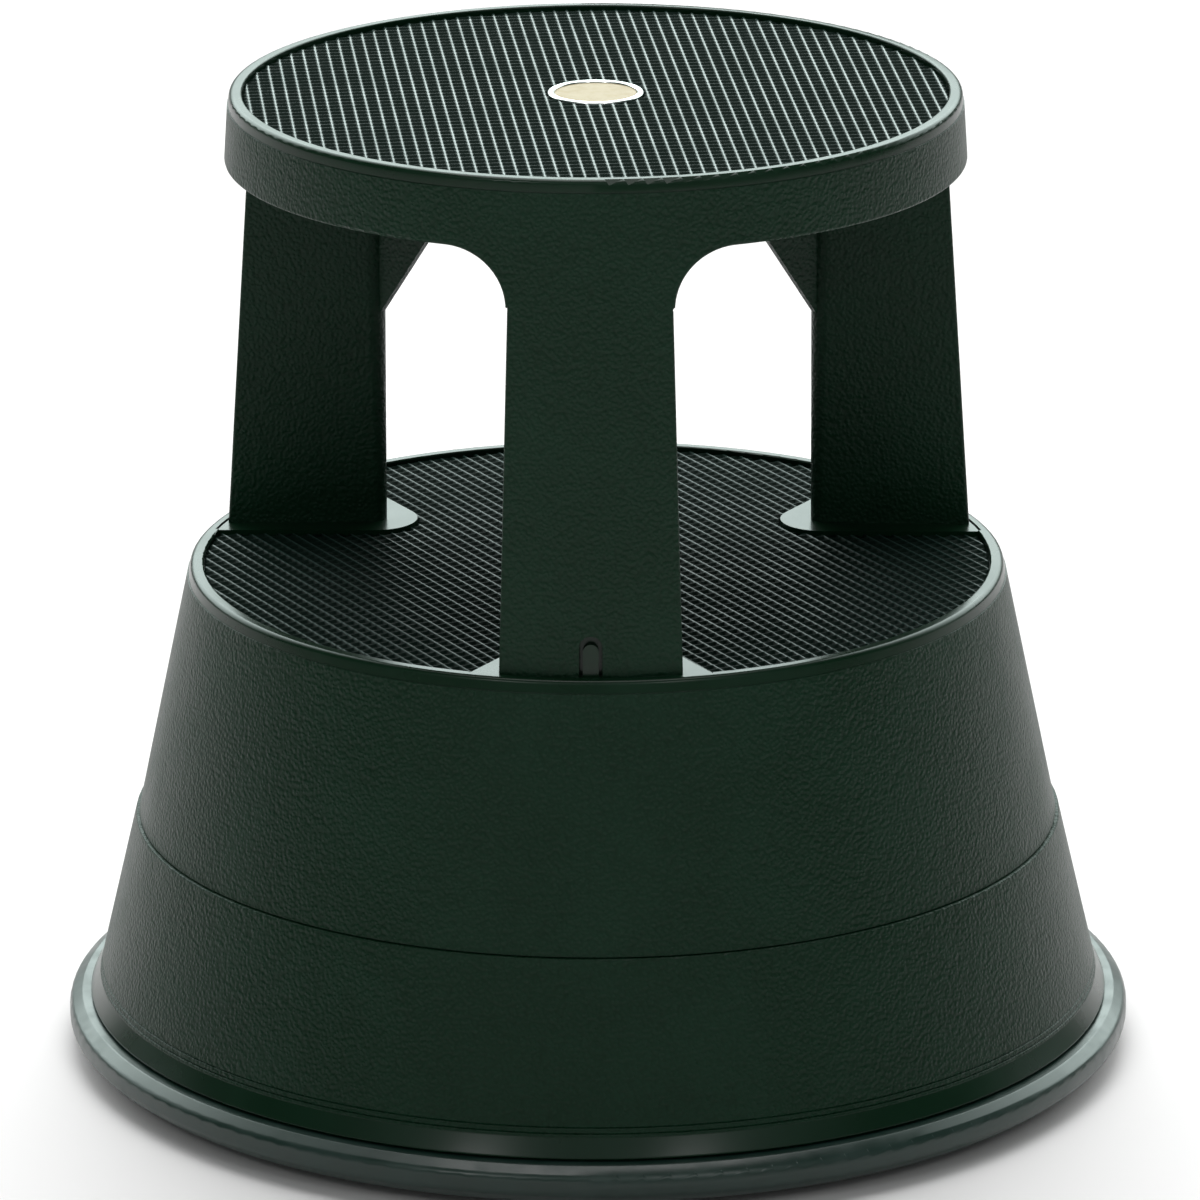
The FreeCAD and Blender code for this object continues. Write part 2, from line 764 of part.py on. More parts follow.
def housing_screw_places():
    """Screw places of a castor housing whose arm runs along +X."""
    places = []
    for index in range(housing_screw_count):
        angle = math.radians(180.0 + index * 360.0 / housing_screw_count)
        places.append((castor_radius + housing_screw_circle * math.cos(angle),
                       housing_screw_circle * math.sin(angle)))
    return places


def top_tread():
    """Mat of the top step with a round hole for the badge."""
    radius = top_radius - rim_width - gap
    return revolved([
        (badge_radius + gap, top_seat, 0),
        (radius, top_seat, 0),
        (radius, top_seat + tread_thick, tread_edge),
        (badge_radius + gap, top_seat + tread_thick, tread_edge)])


def lower_tread():
    """Mat of the lower step with a V cut-out at each leg."""
    radius = deck_radius - rim_width - gap
    mat = revolved([
        (0, deck_seat, 0),
        (radius, deck_seat, 0),
        (radius, deck_seat + tread_thick, tread_edge),
        (0, deck_seat + tread_thick, 0)])
    cut = island_core(deck_seat - overcut, low_height + overcut, -gap)
    for copy in round_legs(cut):
        mat = mat.cut(copy)
    return mat


def badge_bezel():
    """Bright ring with a floor for the disc and a snap stem through the top panel."""
    inner = badge_radius - bezel_width
    crest = top_seat + tread_thick + bezel_stand
    tail = top_under - boss_depth - stem_tail
    return revolved([
        (0, tail, 0),
        (stem_radius - stem_barb, tail, 0),
        (stem_radius + stem_barb, top_under - boss_depth - gap, 0),
        (stem_radius, top_under - boss_depth - gap, 0),
        (stem_radius, top_seat, 0),
        (badge_radius, top_seat, 0),
        (badge_radius, crest, rim_edge),
        (inner, crest, rim_edge),
        (inner, top_seat + bezel_floor, 0),
        (0, top_seat + bezel_floor, 0)])


def badge_disc():
    """Blank disc inside the bezel."""
    low = top_seat + bezel_floor
    radius = badge_radius - bezel_width - badge_play
    return revolved([
        (0, low, 0),
        (radius, low, 0),
        (radius, low + badge_thick, badge_edge),
        (0, low + badge_thick, 0)])


# ---- castors: made on the Z axis with the trail along +X ----

def housing():
    """Tube with a screw flange; its cap guides the plunger and backs the spring."""
    low = bush_low + bush_flange
    flange_top = frame_top + housing_flange
    cap_top = housing_cap_low + housing_cap
    tube = revolved([
        (bush_radius, low, 0),
        (housing_radius, low, 0),
        (housing_radius, frame_top, 0),
        (housing_flange_radius, frame_top, 0),
        (housing_flange_radius, flange_top, rim_edge),
        (housing_radius, flange_top, rim_edge),
        (housing_radius, cap_top, rim_edge),
        (plunger_radius + running, cap_top, 0),
        (plunger_radius + running, housing_cap_low, 0),
        (bush_radius, housing_cap_low, 0)])
    for x, y in housing_screw_places():
        tube = tube.cut(rod(screw_radius + screw_hole_play, frame_top - overcut, flange_top + overcut,
                            x - castor_radius, y))
    return tube


def lower_bush():
    """Flanged bush in the housing's mouth; the plunger's collar rests on it."""
    return revolved([
        (plunger_radius + running, bush_low, 0),
        (bush_flange_radius, bush_low, rim_edge),
        (bush_flange_radius, bush_low + bush_flange, 0),
        (bush_radius, bush_low + bush_flange, 0),
        (bush_radius, bush_top, 0),
        (plunger_radius + running, bush_top, 0)])


def plunger():
    """Rod with the spring's collar, and a blind bore with an undercut for the kingpin."""
    low = crown_top + washer_thick + washer_play
    body = revolved([
        (0, low, 0),
        (plunger_radius, low, 0),
        (plunger_radius, collar_low, 0),
        (collar_radius, collar_low, 0),
        (collar_radius, collar_low + collar_thick, 0),
        (plunger_radius, collar_low + collar_thick, 0),
        (plunger_radius, plunger_top - plunger_chamfer, 0),
        (plunger_radius - plunger_chamfer, plunger_top, 0),
        (0, plunger_top, 0)])
    bore = rod(kingpin_radius + running, low - overcut, kingpin_top + bore_spare)
    undercut = rod(snap_ring_radius + snap_ring_play, snap_ring_low - snap_ring_play,
                   snap_ring_low + snap_ring_thick + snap_ring_play)
    return body.cut(bore).cut(undercut)


def spring():
    """Round-wire compression spring between the collar and the housing's cap."""
    low = collar_low + collar_thick + spring_wire + spring_play
    high = housing_cap_low - spring_wire - spring_play
    helix = Part.makeHelix((high - low) / spring_turns, high - low, spring_radius)
    helix.translate(Vector(0, 0, low))
    section = Part.Wire(Part.makeCircle(spring_wire, Vector(spring_radius, 0, low), Vector(0, 1, 0)))
    return Part.Wire(helix.Edges).makePipeShell([section], True, True)


def thrust_washer():
    """Swivel washer on the fork's crown."""
    ring = rod(washer_radius, crown_top, crown_top + washer_thick)
    return ring.cut(rod(kingpin_radius + running, crown_top - overcut, crown_top + 2 * overcut))


def kingpin():
    """Riveted pin with a groove for the retaining ring."""
    groove = kingpin_radius - snap_ring_depth
    groove_top = snap_ring_low + snap_ring_thick
    return revolved([
        (0, crown_low - kingpin_head, 0),
        (kingpin_head_radius, crown_low - kingpin_head, rim_edge),
        (kingpin_head_radius, crown_low, 0),
        (kingpin_radius, crown_low, 0),
        (kingpin_radius, snap_ring_low, 0),
        (groove, snap_ring_low, 0),
        (groove, groove_top, 0),
        (kingpin_radius, groove_top, 0),
        (kingpin_radius, kingpin_top, rim_edge),
        (0, kingpin_top, 0)])


def retaining_ring():
    """Ring in the kingpin's groove."""
    top = snap_ring_low + snap_ring_thick
    ring = rod(snap_ring_radius, snap_ring_low, top)
    return ring.cut(rod(kingpin_radius - snap_ring_depth, snap_ring_low - overcut, top + overcut))


def cross_rod(radius, half_length):
    """Cylinder along Y on the wheel's axis."""
    start = Vector(trail, -half_length, wheel_radius)
    return Part.makeCylinder(radius, 2 * half_length, start, Vector(0, 1, 0))


def fork():
    """Crown and two cheeks round the wheel."""
    half_width = cheek_inner + cheek_thick
    crown = plate([
        (-crown_back, -half_width, crown_round),
        (crown_front, -half_width, crown_round),
        (crown_front, half_width, crown_round),
        (-crown_back, half_width, crown_round)], crown_low, crown_top)
    pieces = [crown]
    for side in (1, -1):
        cheek = upright([
            (-cheek_back, crown_top, 0),
            (-cheek_back, crown_top - cheek_drop, cheek_round),
            (trail - cheek_foot, wheel_radius - cheek_foot, cheek_round),
            (trail + cheek_foot, wheel_radius - cheek_foot, cheek_round),
            (trail + cheek_foot, wheel_radius + cheek_foot, cheek_round),
            (crown_front - crown_round, crown_top, 0)], cheek_thick / 2)
        cheek.translate(Vector(0, side * (cheek_inner + cheek_thick / 2), 0))
        pieces.append(cheek)
    body = joined(pieces)
    body = body.cut(rod(kingpin_radius, crown_low - overcut, crown_top + overcut))
    return body.cut(cross_rod(axle_radius, half_width + overcut))


def wheel_axle():
    """Riveted axle through both cheeks."""
    half_width = cheek_inner + cheek_thick
    heads = cross_rod(axle_head_radius, half_width + axle_head)
    heads = heads.cut(cross_rod(axle_head_radius + overcut, half_width))
    return joined([cross_rod(axle_radius, half_width + axle_head)] + heads.Solids)


def across(corners):
    """Solid of revolution about the wheel's axis; the corners are (radius, side, rounding)."""
    wire = rounded_wire(corners, lambda p: Vector(trail + p.x, p.y, wheel_radius))
    return Part.Face(wire).revolve(Vector(trail, 0, wheel_radius), Vector(0, 1, 0), 360)


def wheel_hub():
    """Wheel centre with a boss at each side."""
    half = wheel_width / 2
    bore = axle_radius + running
    return across([
        (bore, -hub_face, 0),
        (hub_boss_radius, -hub_face, 0),
        (hub_boss_radius, -half, 0),
        (wheel_hub_radius, -half, 0),
        (wheel_hub_radius, half, 0),
        (hub_boss_radius, half, 0),
        (hub_boss_radius, hub_face, 0),
        (bore, hub_face, 0)])


def tyre():
    """Soft tread round the wheel's centre."""
    half = wheel_width / 2
    return across([
        (wheel_hub_radius, -half, 0),
        (wheel_radius, -half, tyre_round),
        (wheel_radius, half, tyre_round),
        (wheel_hub_radius, half, 0)])


def at_castor(shape, angle):
    """A castor piece moved to its arm, with its trail turned from the arm's direction."""
    copy = turned(shape, castor_heading)
    copy.translate(Vector(castor_radius, 0, 0))
    return turned(copy, angle)


# ---- screws ----

def leg_screws():
    """Screws from under the lower step into the legs' bosses."""
    seat = island_top - panel
    return [copy for radius in leg_screw_radii
            for copy in round_legs(screw(seat, island_top + screw_grip, radius))]


def shell_screws():
    """Screws from under the ears into the upper cone's blocks."""
    seat = ear_top - ear_thick
    body = screw(seat, ear_top + screw_grip, ear_screw_radius)
    return [turned(body, ear_offset + index * 360.0 / ear_count) for index in range(ear_count)]


def frame_screws():
    """Screws down through the arms' ends into the ledges."""
    screws = []
    for sign in (1, -1):
        body = screw(frame_top, frame_top + frame_thick + ledge_depth, frame_screw_radius)
        body = flipped(body, frame_top)
        body.translate(Vector(0, sign * frame_screw_spread, 0))
        screws += round_legs(body)
    return screws


def housing_screws():
    """Screws down through the housings' flanges into the frame."""
    seat = frame_top + housing_flange
    screws = []
    for x, y in housing_screw_places():
        body = flipped(screw(seat, seat + housing_flange + frame_thick, 0), seat)
        body.translate(Vector(x, y, 0))
        screws += round_legs(body)
    return screws


def all_nodes():
    """Every node's name and shape."""
    nodes = {
        "upper_step_shell": upper_step_shell(),
        "top_tread": top_tread(),
        "badge_bezel": badge_bezel(),
        "badge_disc": badge_disc(),
        "lower_step_shell": lower_step_shell(),
        "lower_tread": lower_tread(),
        "base_skirt": base_skirt(),
        "bumper_ring": bumper_ring(),
        "caster_frame": caster_frame(),
        "leg_screws": group(leg_screws()),
        "shell_screws": group(shell_screws()),
        "frame_screws": group(frame_screws()),
        "housing_screws": group(housing_screws()),
    }
    castor_pieces = {
        "housing": turned(housing(), -castor_heading),
        "lower_bush": lower_bush(),
        "plunger": plunger(),
        "spring": spring(),
        "thrust_washer": thrust_washer(),
        "kingpin": kingpin(),
        "retaining_ring": retaining_ring(),
        "fork": fork(),
        "axle": wheel_axle(),
        "wheel_hub": wheel_hub(),
        "tyre": tyre(),
    }
    for place, angle in leg_angles.items():
        for name, shape in castor_pieces.items():
            nodes[f"{place}_{name}"] = at_castor(shape, angle)
    return nodes


os.makedirs("parts", exist_ok=True)
for node, shape in all_nodes().items():
    box = shape.BoundBox
    print(f"{node:24s} solids {len(shape.Solids)} valid {shape.isValid()} "
          f"volume {shape.Volume:10.0f} mm3 z {box.ZMin:7.2f} to {box.ZMax:7.2f}")
    shape.exportStep(f"parts/{node}.step")
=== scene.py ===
# %% [markdown]
# # A rolling step stool
#
# The stool is a set of plastic mouldings that nest in each other: a small round step on three V legs,
# a wider step on a cone, a second cone below it and a rubber ring round the foot. Three sprung castors
# hide inside. The solid model brings every rigid piece at its true size, so this file adds what a
# solid model doesn't carry: the net of ribs on the treads, the grain of the plastic, and the light.

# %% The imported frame
import math

import bmesh
import bpy
import numpy as np
from mathutils import Matrix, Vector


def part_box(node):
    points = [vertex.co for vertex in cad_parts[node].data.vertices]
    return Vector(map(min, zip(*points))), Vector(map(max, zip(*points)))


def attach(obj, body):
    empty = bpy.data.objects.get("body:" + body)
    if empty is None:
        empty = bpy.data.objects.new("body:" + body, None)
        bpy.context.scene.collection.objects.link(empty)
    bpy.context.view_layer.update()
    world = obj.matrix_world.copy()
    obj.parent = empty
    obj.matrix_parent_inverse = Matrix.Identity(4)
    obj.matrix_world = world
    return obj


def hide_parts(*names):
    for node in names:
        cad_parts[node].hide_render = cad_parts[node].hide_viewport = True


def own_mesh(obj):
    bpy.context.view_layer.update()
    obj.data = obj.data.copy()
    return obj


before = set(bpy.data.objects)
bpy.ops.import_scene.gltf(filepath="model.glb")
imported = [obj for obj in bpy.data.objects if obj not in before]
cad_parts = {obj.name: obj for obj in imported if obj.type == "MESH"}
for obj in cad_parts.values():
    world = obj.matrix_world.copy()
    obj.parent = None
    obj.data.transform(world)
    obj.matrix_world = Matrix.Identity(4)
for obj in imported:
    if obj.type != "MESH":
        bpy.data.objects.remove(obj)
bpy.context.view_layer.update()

MM = 0.001
print("pieces from the solid model:", len(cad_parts))

# %% [markdown]
# ## Camera
#
# A long lens from a little above the lower step, as in a catalogue picture: far enough away that the
# round steps stay nearly true ellipses. The stool is turned by under a degree, so the camera stands
# that far round it. The distance and height are those of a tripod in a small studio.

# %% Camera
camera_distance = 3.3662
camera_height = 1.2536
camera_round = math.radians(0.9)
camera_tilt = math.radians(17.515)
camera_roll = math.radians(-0.155)
camera_lens = 251.77
camera_shift = 0.0025

lens = bpy.data.cameras.new("studio_camera")
lens.lens = camera_lens
lens.sensor_width = 36.0
lens.shift_x = camera_shift
lens.clip_end = 50.0
camera = bpy.data.objects.new("studio_camera", lens)
camera.location = (camera_distance * math.sin(camera_round), -camera_distance * math.cos(camera_round),
                   camera_height)
facing = (Matrix.Rotation(camera_round, 3, "Z") @ Matrix.Rotation(math.pi / 2 - camera_tilt, 3, "X")
          @ Matrix.Rotation(camera_roll, 3, "Z"))
camera.rotation_euler = facing.to_euler()
bpy.context.scene.collection.objects.link(camera)
bpy.context.scene.camera = camera
bpy.context.scene.view_settings.view_transform = "Standard"
print("camera", [round(c, 3) for c in camera.location])

# %% [markdown]
# ## Shader maths as Python
#
# A finish is easier to read as a formula than as a web of nodes. The Value class wraps one socket, and
# + - and * on it add Math nodes, so a mask is written as an expression. Every other node comes from the
# one method add, which takes the node's type, its settings and what goes into its sockets.

# %% Value, Web and Finish
noise_roughness = 0.55
pebble_fall = 1.3


class Value:
    """A socket of a finish; arithmetic on it adds Math nodes."""

    def __init__(self, web, socket):
        self.web = web
        self.socket = socket

    def math(self, operation, first, second):
        return self.web.add("Math", {"operation": operation}, {0: first, 1: second})

    def __add__(self, other):
        return self.math("ADD", self, other)

    def __radd__(self, other):
        return self.math("ADD", other, self)

    def __sub__(self, other):
        return self.math("SUBTRACT", self, other)

    def __rsub__(self, other):
        return self.math("SUBTRACT", other, self)

    def __mul__(self, other):
        return self.math("MULTIPLY", self, other)

    def __rmul__(self, other):
        return self.math("MULTIPLY", other, self)


class Web:
    """A node tree with one method that adds nodes, and short ways to the masks used here."""

    def __init__(self, tree):
        self.tree = tree

    def add(self, kind, settings=None, inputs=None, out=0):
        """A node of that kind; settings first, then sockets by name or number."""
        node = self.tree.nodes.new("ShaderNode" + kind)
        for key, value in (settings or {}).items():
            setattr(node, key, value)
        for key, value in (inputs or {}).items():
            self.feed(node.inputs[key], value)
        return Value(self, node.outputs[out])

    def feed(self, socket, value):
        if isinstance(value, Value):
            self.tree.links.new(value.socket, socket)
        elif hasattr(value, "__len__") and socket.type == "RGBA":
            socket.default_value = (*value, 1.0)
        else:
            socket.default_value = value

    def split(self, vector):
        """The three components of a vector."""
        node = self.add("SeparateXYZ", {}, {"Vector": vector}).socket.node
        return [Value(self, node.outputs[axis]) for axis in "XYZ"]

    def rise(self, value, low, high):
        """0 below low, 1 above high, and a smooth step between them."""
        return self.add("MapRange", {"interpolation_type": "SMOOTHSTEP"},
                        {"Value": value, "From Min": low, "From Max": high})

    def mix(self, factor, first, second):
        """Colour mix; factor 0 gives first, 1 gives second."""
        return self.add("Mix", {"data_type": "RGBA"}, {0: factor, 6: first, 7: second}, out=2)


class Finish(Web):
    """A material: its shader, the place and height on the piece, and the patterns of its masks."""

    def __init__(self, name):
        self.material = bpy.data.materials.new(name)
        self.material.use_nodes = True
        super().__init__(self.material.node_tree)
        self.shader = self.tree.nodes["Principled BSDF"]
        self.place = self.add("TexCoord", out="Object")
        self.z = self.split(self.place)[2]

    def set(self, **sockets):
        """Feeds the shader's own sockets; an underscore in a name stands for a space."""
        for name, value in sockets.items():
            self.feed(self.shader.inputs[name.replace("_", " ")], value)
        return self

    def noise(self, scale, detail=3.0):
        """Soft unevenness from 0 to 1, with that many patches to the metre."""
        return self.add("TexNoise", {}, {"Vector": self.place, "Scale": scale, "Detail": detail,
                                         "Roughness": noise_roughness})

    def pebbles(self, place, size):
        """1 in the middle of each of many scattered cells of that size, and less towards its edge."""
        away = self.add("TexVoronoi", {"feature": "SMOOTH_F1"}, {"Vector": place, "Scale": 1 / size},
                        out="Distance")
        return 1 - away * pebble_fall

    def bump(self, height, depth, strength, under=None):
        """Bump of a height from 0 to 1 that is depth metres deep, over another normal if given."""
        inputs = {"Height": height, "Distance": depth, "Strength": strength}
        if under is not None:
            inputs["Normal"] = under
        return self.add("Bump", {}, inputs)


def dress(finish, *nodes):
    """Puts a finish in every material slot of these nodes of the solid model."""
    for name in nodes:
        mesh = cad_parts[name].data
        mesh.materials.clear()
        mesh.materials.append(finish.material)


# %% [markdown]
# ## The stool's plastic
#
# The mouldings are polypropylene, coloured a green so dark that it reads as black. The mould is etched
# with a fine leather grain on the outer skirts, and left bright on the rims, the leg seats and the
# flared foot. So one function makes the finish, and takes the heights between which the moulding is
# grained. The grain is a field of rounded pebbles, from the distance to the nearest of many scattered
# points, over a softer unevenness that breaks up the reflections.

# %% Grained and smooth plastic
# The lighter green goes on random patches, a real tone, and on the middle of every grain pebble, where it
# is a painted glint.
plastic_dark = (0.0018, 0.0150, 0.0056)
plastic_patch_and_glint = (0.0042, 0.0260, 0.0125)
grain_size = 1.5 * MM
grain_depth = 0.34 * MM
edge_fade = 0.25 * MM
sink_scale = 14.0
sink_depth = 0.5 * MM
patch_scale = 28.0
patch_edges = (0.35, 0.75)
skin_roughness = 0.27
grain_roughness = 0.11
patch_roughness = 0.05
plastic_sheen_level = 0.16
mould_polish = 0.20
polish_roughness = 0.20


def stool_plastic(name, grained_low, grained_high):
    """Plastic grained like leather between two heights; outside them it is smooth and glossier. The
    middle of each pebble is painted lighter, a painted glint on the grain.
    """
    finish = Finish(name)
    grained = (finish.rise(finish.z, grained_low - edge_fade, grained_low + edge_fade)
               * (1 - finish.rise(finish.z, grained_high - edge_fade, grained_high + edge_fade)))
    scatter = finish.add("TexNoise", {}, {"Vector": finish.place, "Scale": 0.5 / grain_size}, out="Color")
    shift = finish.add("VectorMath", {"operation": "SCALE"}, {0: scatter, "Scale": 0.5 * grain_size})
    wander = finish.add("VectorMath", {"operation": "ADD"}, {0: finish.place, 1: shift})
    pebble = finish.pebbles(wander, grain_size)
    height = grained * (pebble + 0.25 * finish.noise(4 / grain_size, 2.0))
    sunken = finish.bump(finish.noise(sink_scale, 2.0), sink_depth, 0.12)
    normal = finish.bump(height, grain_depth, 1.0, sunken)
    patchy = finish.rise(finish.noise(patch_scale, 4.0), *patch_edges)
    # Lighter colour: on random patches it is the plastic's own tone, on the pebble middles a painted
    # glint.
    colour = finish.mix(patchy * 0.3 + grained * pebble * 0.7, plastic_dark, plastic_patch_and_glint)
    rough = skin_roughness + grain_roughness * grained + patch_roughness * patchy
    return finish.set(Base_Color=colour, Roughness=rough, Normal=normal,
                      Specular_IOR_Level=plastic_sheen_level,
                      Coat_Weight=mould_polish * (1 - grained), Coat_Roughness=polish_roughness)


rim_band = 5.3 * MM
rim_over_tread = 1.8 * MM
flare_height = 31.2 * MM
top_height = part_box("upper_step_shell")[1].z
rim_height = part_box("lower_tread")[1].z + rim_over_tread
top_plastic = stool_plastic("plastic_top", 0.0, top_height - rim_band)
deck_plastic = stool_plastic("plastic_deck", 0.0, rim_height - rim_band)
skirt_plastic = stool_plastic("plastic_skirt", flare_height, 1.0)
print("top", round(top_height, 4), "rim of the lower step", round(rim_height, 4))

# %% [markdown]
# ## Rubber, metal and the small mouldings
#
# The ring is smooth rubber of the same green. The badge is a gold lacquered disc in a bright ring. The
# castor pieces are zinc-plated pressings, oiled spring wire, natural acetal, a moulded hub and a grey
# tyre. They all wear in patches over a fine unevenness, so one function makes them from a short table.

# %% Rubber, metal and small plastic finishes
patches_to_grain = 12
worn_roughness = 0.12


def plain_finish(name, colour, worn, rough, scale, depth, metallic, specular):
    """A finish of one colour that wears to another, with a fine unevenness of the given scale."""
    finish = Finish(name)
    patchy = finish.rise(finish.noise(scale / patches_to_grain, 4.0), *patch_edges)
    return finish.set(Base_Color=finish.mix(patchy, colour, worn), Metallic=metallic,
                      Roughness=rough + worn_roughness * patchy, Specular_IOR_Level=specular,
                      Normal=finish.bump(finish.noise(scale), depth, 0.5))


# colour, worn colour, roughness, unevenness per metre, its depth, metallic, specular level
small_finishes = {
    "ring_rubber": ((0.008, 0.024, 0.018), (0.012, 0.031, 0.025), 0.28, 900.0, 0.02 * MM, 0.0, 0.5),
    "frame_plastic": ((0.020, 0.022, 0.021), (0.034, 0.036, 0.035), 0.45, 1200.0, 0.04 * MM, 0.0, 0.5),
    "bush_plastic": ((0.62, 0.60, 0.54), (0.50, 0.48, 0.42), 0.38, 900.0, 0.02 * MM, 0.0, 0.5),
    "wheel_plastic": ((0.10, 0.105, 0.105), (0.16, 0.16, 0.155), 0.42, 900.0, 0.03 * MM, 0.0, 0.5),
    "tyre_rubber": ((0.035, 0.036, 0.036), (0.085, 0.083, 0.078), 0.62, 700.0, 0.06 * MM, 0.0, 0.5),
    "zinc_steel": ((0.60, 0.61, 0.62), (0.50, 0.50, 0.48), 0.28, 1500.0, 0.02 * MM, 1.0, 0.5),
    "spring_steel": ((0.30, 0.31, 0.32), (0.20, 0.19, 0.17), 0.32, 1500.0, 0.02 * MM, 1.0, 0.5),
    "bright_trim": ((0.80, 0.80, 0.79), (0.70, 0.70, 0.69), 0.12, 800.0, 0.01 * MM, 1.0, 0.5),
    "gold_trim": ((0.42, 0.365, 0.235), (0.39, 0.335, 0.205), 0.45, 2500.0, 0.03 * MM, 0.0, 0.15)}
finishes = {name: plain_finish(name, *values) for name, values in small_finishes.items()}
dress(finishes["frame_plastic"], "caster_frame")
dress(finishes["zinc_steel"], "leg_screws", "shell_screws", "frame_screws", "housing_screws")
dress(finishes["gold_trim"], "badge_disc")
castor_finishes = {
    "housing": "frame_plastic", "lower_bush": "bush_plastic", "plunger": "zinc_steel",
    "thrust_washer": "bush_plastic", "kingpin": "zinc_steel", "retaining_ring": "spring_steel",
    "fork": "zinc_steel", "axle": "zinc_steel", "wheel_hub": "wheel_plastic", "tyre": "tyre_rubber"}
castors = ("front", "right", "left")
for castor in castors:
    for piece, finish in castor_finishes.items():
        dress(finishes[finish], f"{castor}_{piece}")
print("small finishes", len(finishes))

# %% [markdown]
# ## The castor springs
#
# Each castor stands on a compression spring of round wire, between a collar on the sliding rod and the
# cap of its housing. When somebody steps on the stool the rod rises and the spring gets shorter, while
# its upper end stays where it is. Each spring here is a new coil of wire that rides on the stool, drawn
# at the resting length of the solid model's spring.

# %% Springs of round wire
wire_radius = 1.0 * MM
coil_turns = 5.5
coil_steps = 220
wire_sides = 10
wire_crisp = math.radians(60.0)


def coil_spring(name, centre, low, high, radius):
    """A wire along a helix: its circle is carried by the helix's outward and upward directions."""
    turn = np.linspace(0, 2 * math.pi * coil_turns, coil_steps)[:, None]
    around = np.arange(wire_sides) * 2 * math.pi / wire_sides
    rise = (high - low) / (2 * math.pi * coil_turns)
    slope = math.atan2(rise, radius)
    out, up = wire_radius * np.cos(around), wire_radius * np.sin(around)
    x = centre[0] + (radius + out) * np.cos(turn) + up * math.sin(slope) * np.sin(turn)
    y = centre[1] + (radius + out) * np.sin(turn) - up * math.sin(slope) * np.cos(turn)
    z = low + rise * turn + up * math.cos(slope)
    points = np.stack([x, y, z], 2).reshape(-1, 3)
    ring = np.arange(wire_sides)
    first = np.arange(coil_steps - 1)[:, None] * wire_sides
    start, beside = (first + ring).ravel(), (first + (ring + 1) % wire_sides).ravel()
    quads = np.stack([start, start + wire_sides, beside + wire_sides, beside], 1).tolist()
    ends = [ring.tolist(), (len(points) - 1 - ring).tolist()]
    mesh = bpy.data.meshes.new(name)
    mesh.from_pydata(points.tolist(), [], quads + ends)
    shape = bmesh.new()
    shape.from_mesh(mesh)
    bmesh.ops.recalc_face_normals(shape, faces=shape.faces)
    shape.to_mesh(mesh)
    shape.free()
    mesh.shade_smooth()
    mesh.set_sharp_from_angle(angle=wire_crisp)
    spring = bpy.data.objects.new(name, mesh)
    bpy.context.scene.collection.objects.link(spring)
    return spring


for castor in castors:
    low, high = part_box(f"{castor}_spring")
    rod_low, rod_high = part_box(f"{castor}_plunger")
    centre = (rod_low + rod_high) / 2
    radius = (high.x - low.x) / 2 - wire_radius
    spring = coil_spring(f"{castor}_coil", centre, low.z + wire_radius, high.z - wire_radius, radius)
    spring.data.materials.append(finishes["spring_steel"].material)
    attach(spring, "stool")
    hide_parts(f"{castor}_spring")
    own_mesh(spring)

# %% [markdown]
# ## Clean shading for the large mouldings
#
# A piece of the solid model arrives as loose triangles, each shaded on its own, so a highlight that
# runs along a small rounding breaks into teeth. A modeller would merge such a mesh before shading it.
# Each large moulding gets a merged copy whose triangles are paired into quads. Corners that turn by
# more than about thirty degrees stay crisp, and weighted normals let the broad faces decide how a
# rounding meets them. No corner moves, so the shape and size stay those of the solid model.

# %% Merged copies of the mouldings
merge_distance = 0.001 * MM
crisp_turn = math.radians(32.0)
flat_turn = math.radians(0.5)


def merged_copy(node, finish):
    """The node's corners and triangles in a new mesh, merged and shaded smooth, in the node's place."""
    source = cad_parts[node].data
    points = np.empty(3 * len(source.vertices))
    source.vertices.foreach_get("co", points)
    corners = np.empty(len(source.loops), dtype=int)
    source.loops.foreach_get("vertex_index", corners)
    mesh = bpy.data.meshes.new(node + "_moulding")
    mesh.from_pydata(points.reshape(-1, 3).tolist(), [], corners.reshape(-1, 3).tolist())
    shape = bmesh.new()
    shape.from_mesh(mesh)
    bmesh.ops.remove_doubles(shape, verts=shape.verts, dist=merge_distance)
    bmesh.ops.join_triangles(shape, faces=shape.faces, angle_face_threshold=flat_turn,
                             angle_shape_threshold=math.pi)
    loose = sum(len(edge.link_faces) != 2 for edge in shape.edges)
    shape.to_mesh(mesh)
    shape.free()
    mesh.shade_smooth()
    mesh.set_sharp_from_angle(angle=crisp_turn)
    mesh.materials.append(finish.material)
    moulding = bpy.data.objects.new(mesh.name, mesh)
    bpy.context.scene.collection.objects.link(moulding)
    shading = moulding.modifiers.new("broad_faces_first", "WEIGHTED_NORMAL")
    shading.mode = "FACE_AREA"
    shading.keep_sharp = True
    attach(moulding, "stool")
    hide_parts(node)
    print(mesh.name, "faces", len(mesh.polygons), "open edges", loose)


merged_copy("upper_step_shell", top_plastic)
merged_copy("lower_step_shell", deck_plastic)
merged_copy("base_skirt", skirt_plastic)
merged_copy("bumper_ring", finishes["ring_rubber"])
merged_copy("badge_bezel", finishes["bright_trim"])

# %% [markdown]
# ## The treads
#
# Each tread is a rubber mat pressed with a square net of rounded ribs, so that a shoe grips in every
# direction. A net of separate bars would leave hidden walls at every crossing, so the mat is one
# surface: the height over the mat's plane is the higher of two families of ridges. The grid lines are
# set on the feet, shoulders and crests of the ribs, which keeps the mesh small and the ribs crisp. Its
# edge is cut by a distance function, and the outermost points are pulled exactly onto the outline.

# %% Outlines of the two mats
rib_pitch = 5.3 * MM
rib_foot = 1.15 * MM
rib_shoulder = 0.55 * MM
rib_height = 1.2 * MM
cross_share = 0.80
shoulder_share = 0.80
mat_gap = 0.4 * MM
island_half_angle = math.radians(30.0)
island_nose = 18.4 * MM
island_nose_centre = 110.5 * MM
leg_directions = [math.radians(a) for a in (-90.0, 30.0, 150.0)]


def top_outline(x, y):
    """Distance outside the round mat with its round hole: the larger of two circle distances."""
    radius = np.hypot(x, y)
    return np.maximum(radius - top_mat_radius, badge_hole - radius)


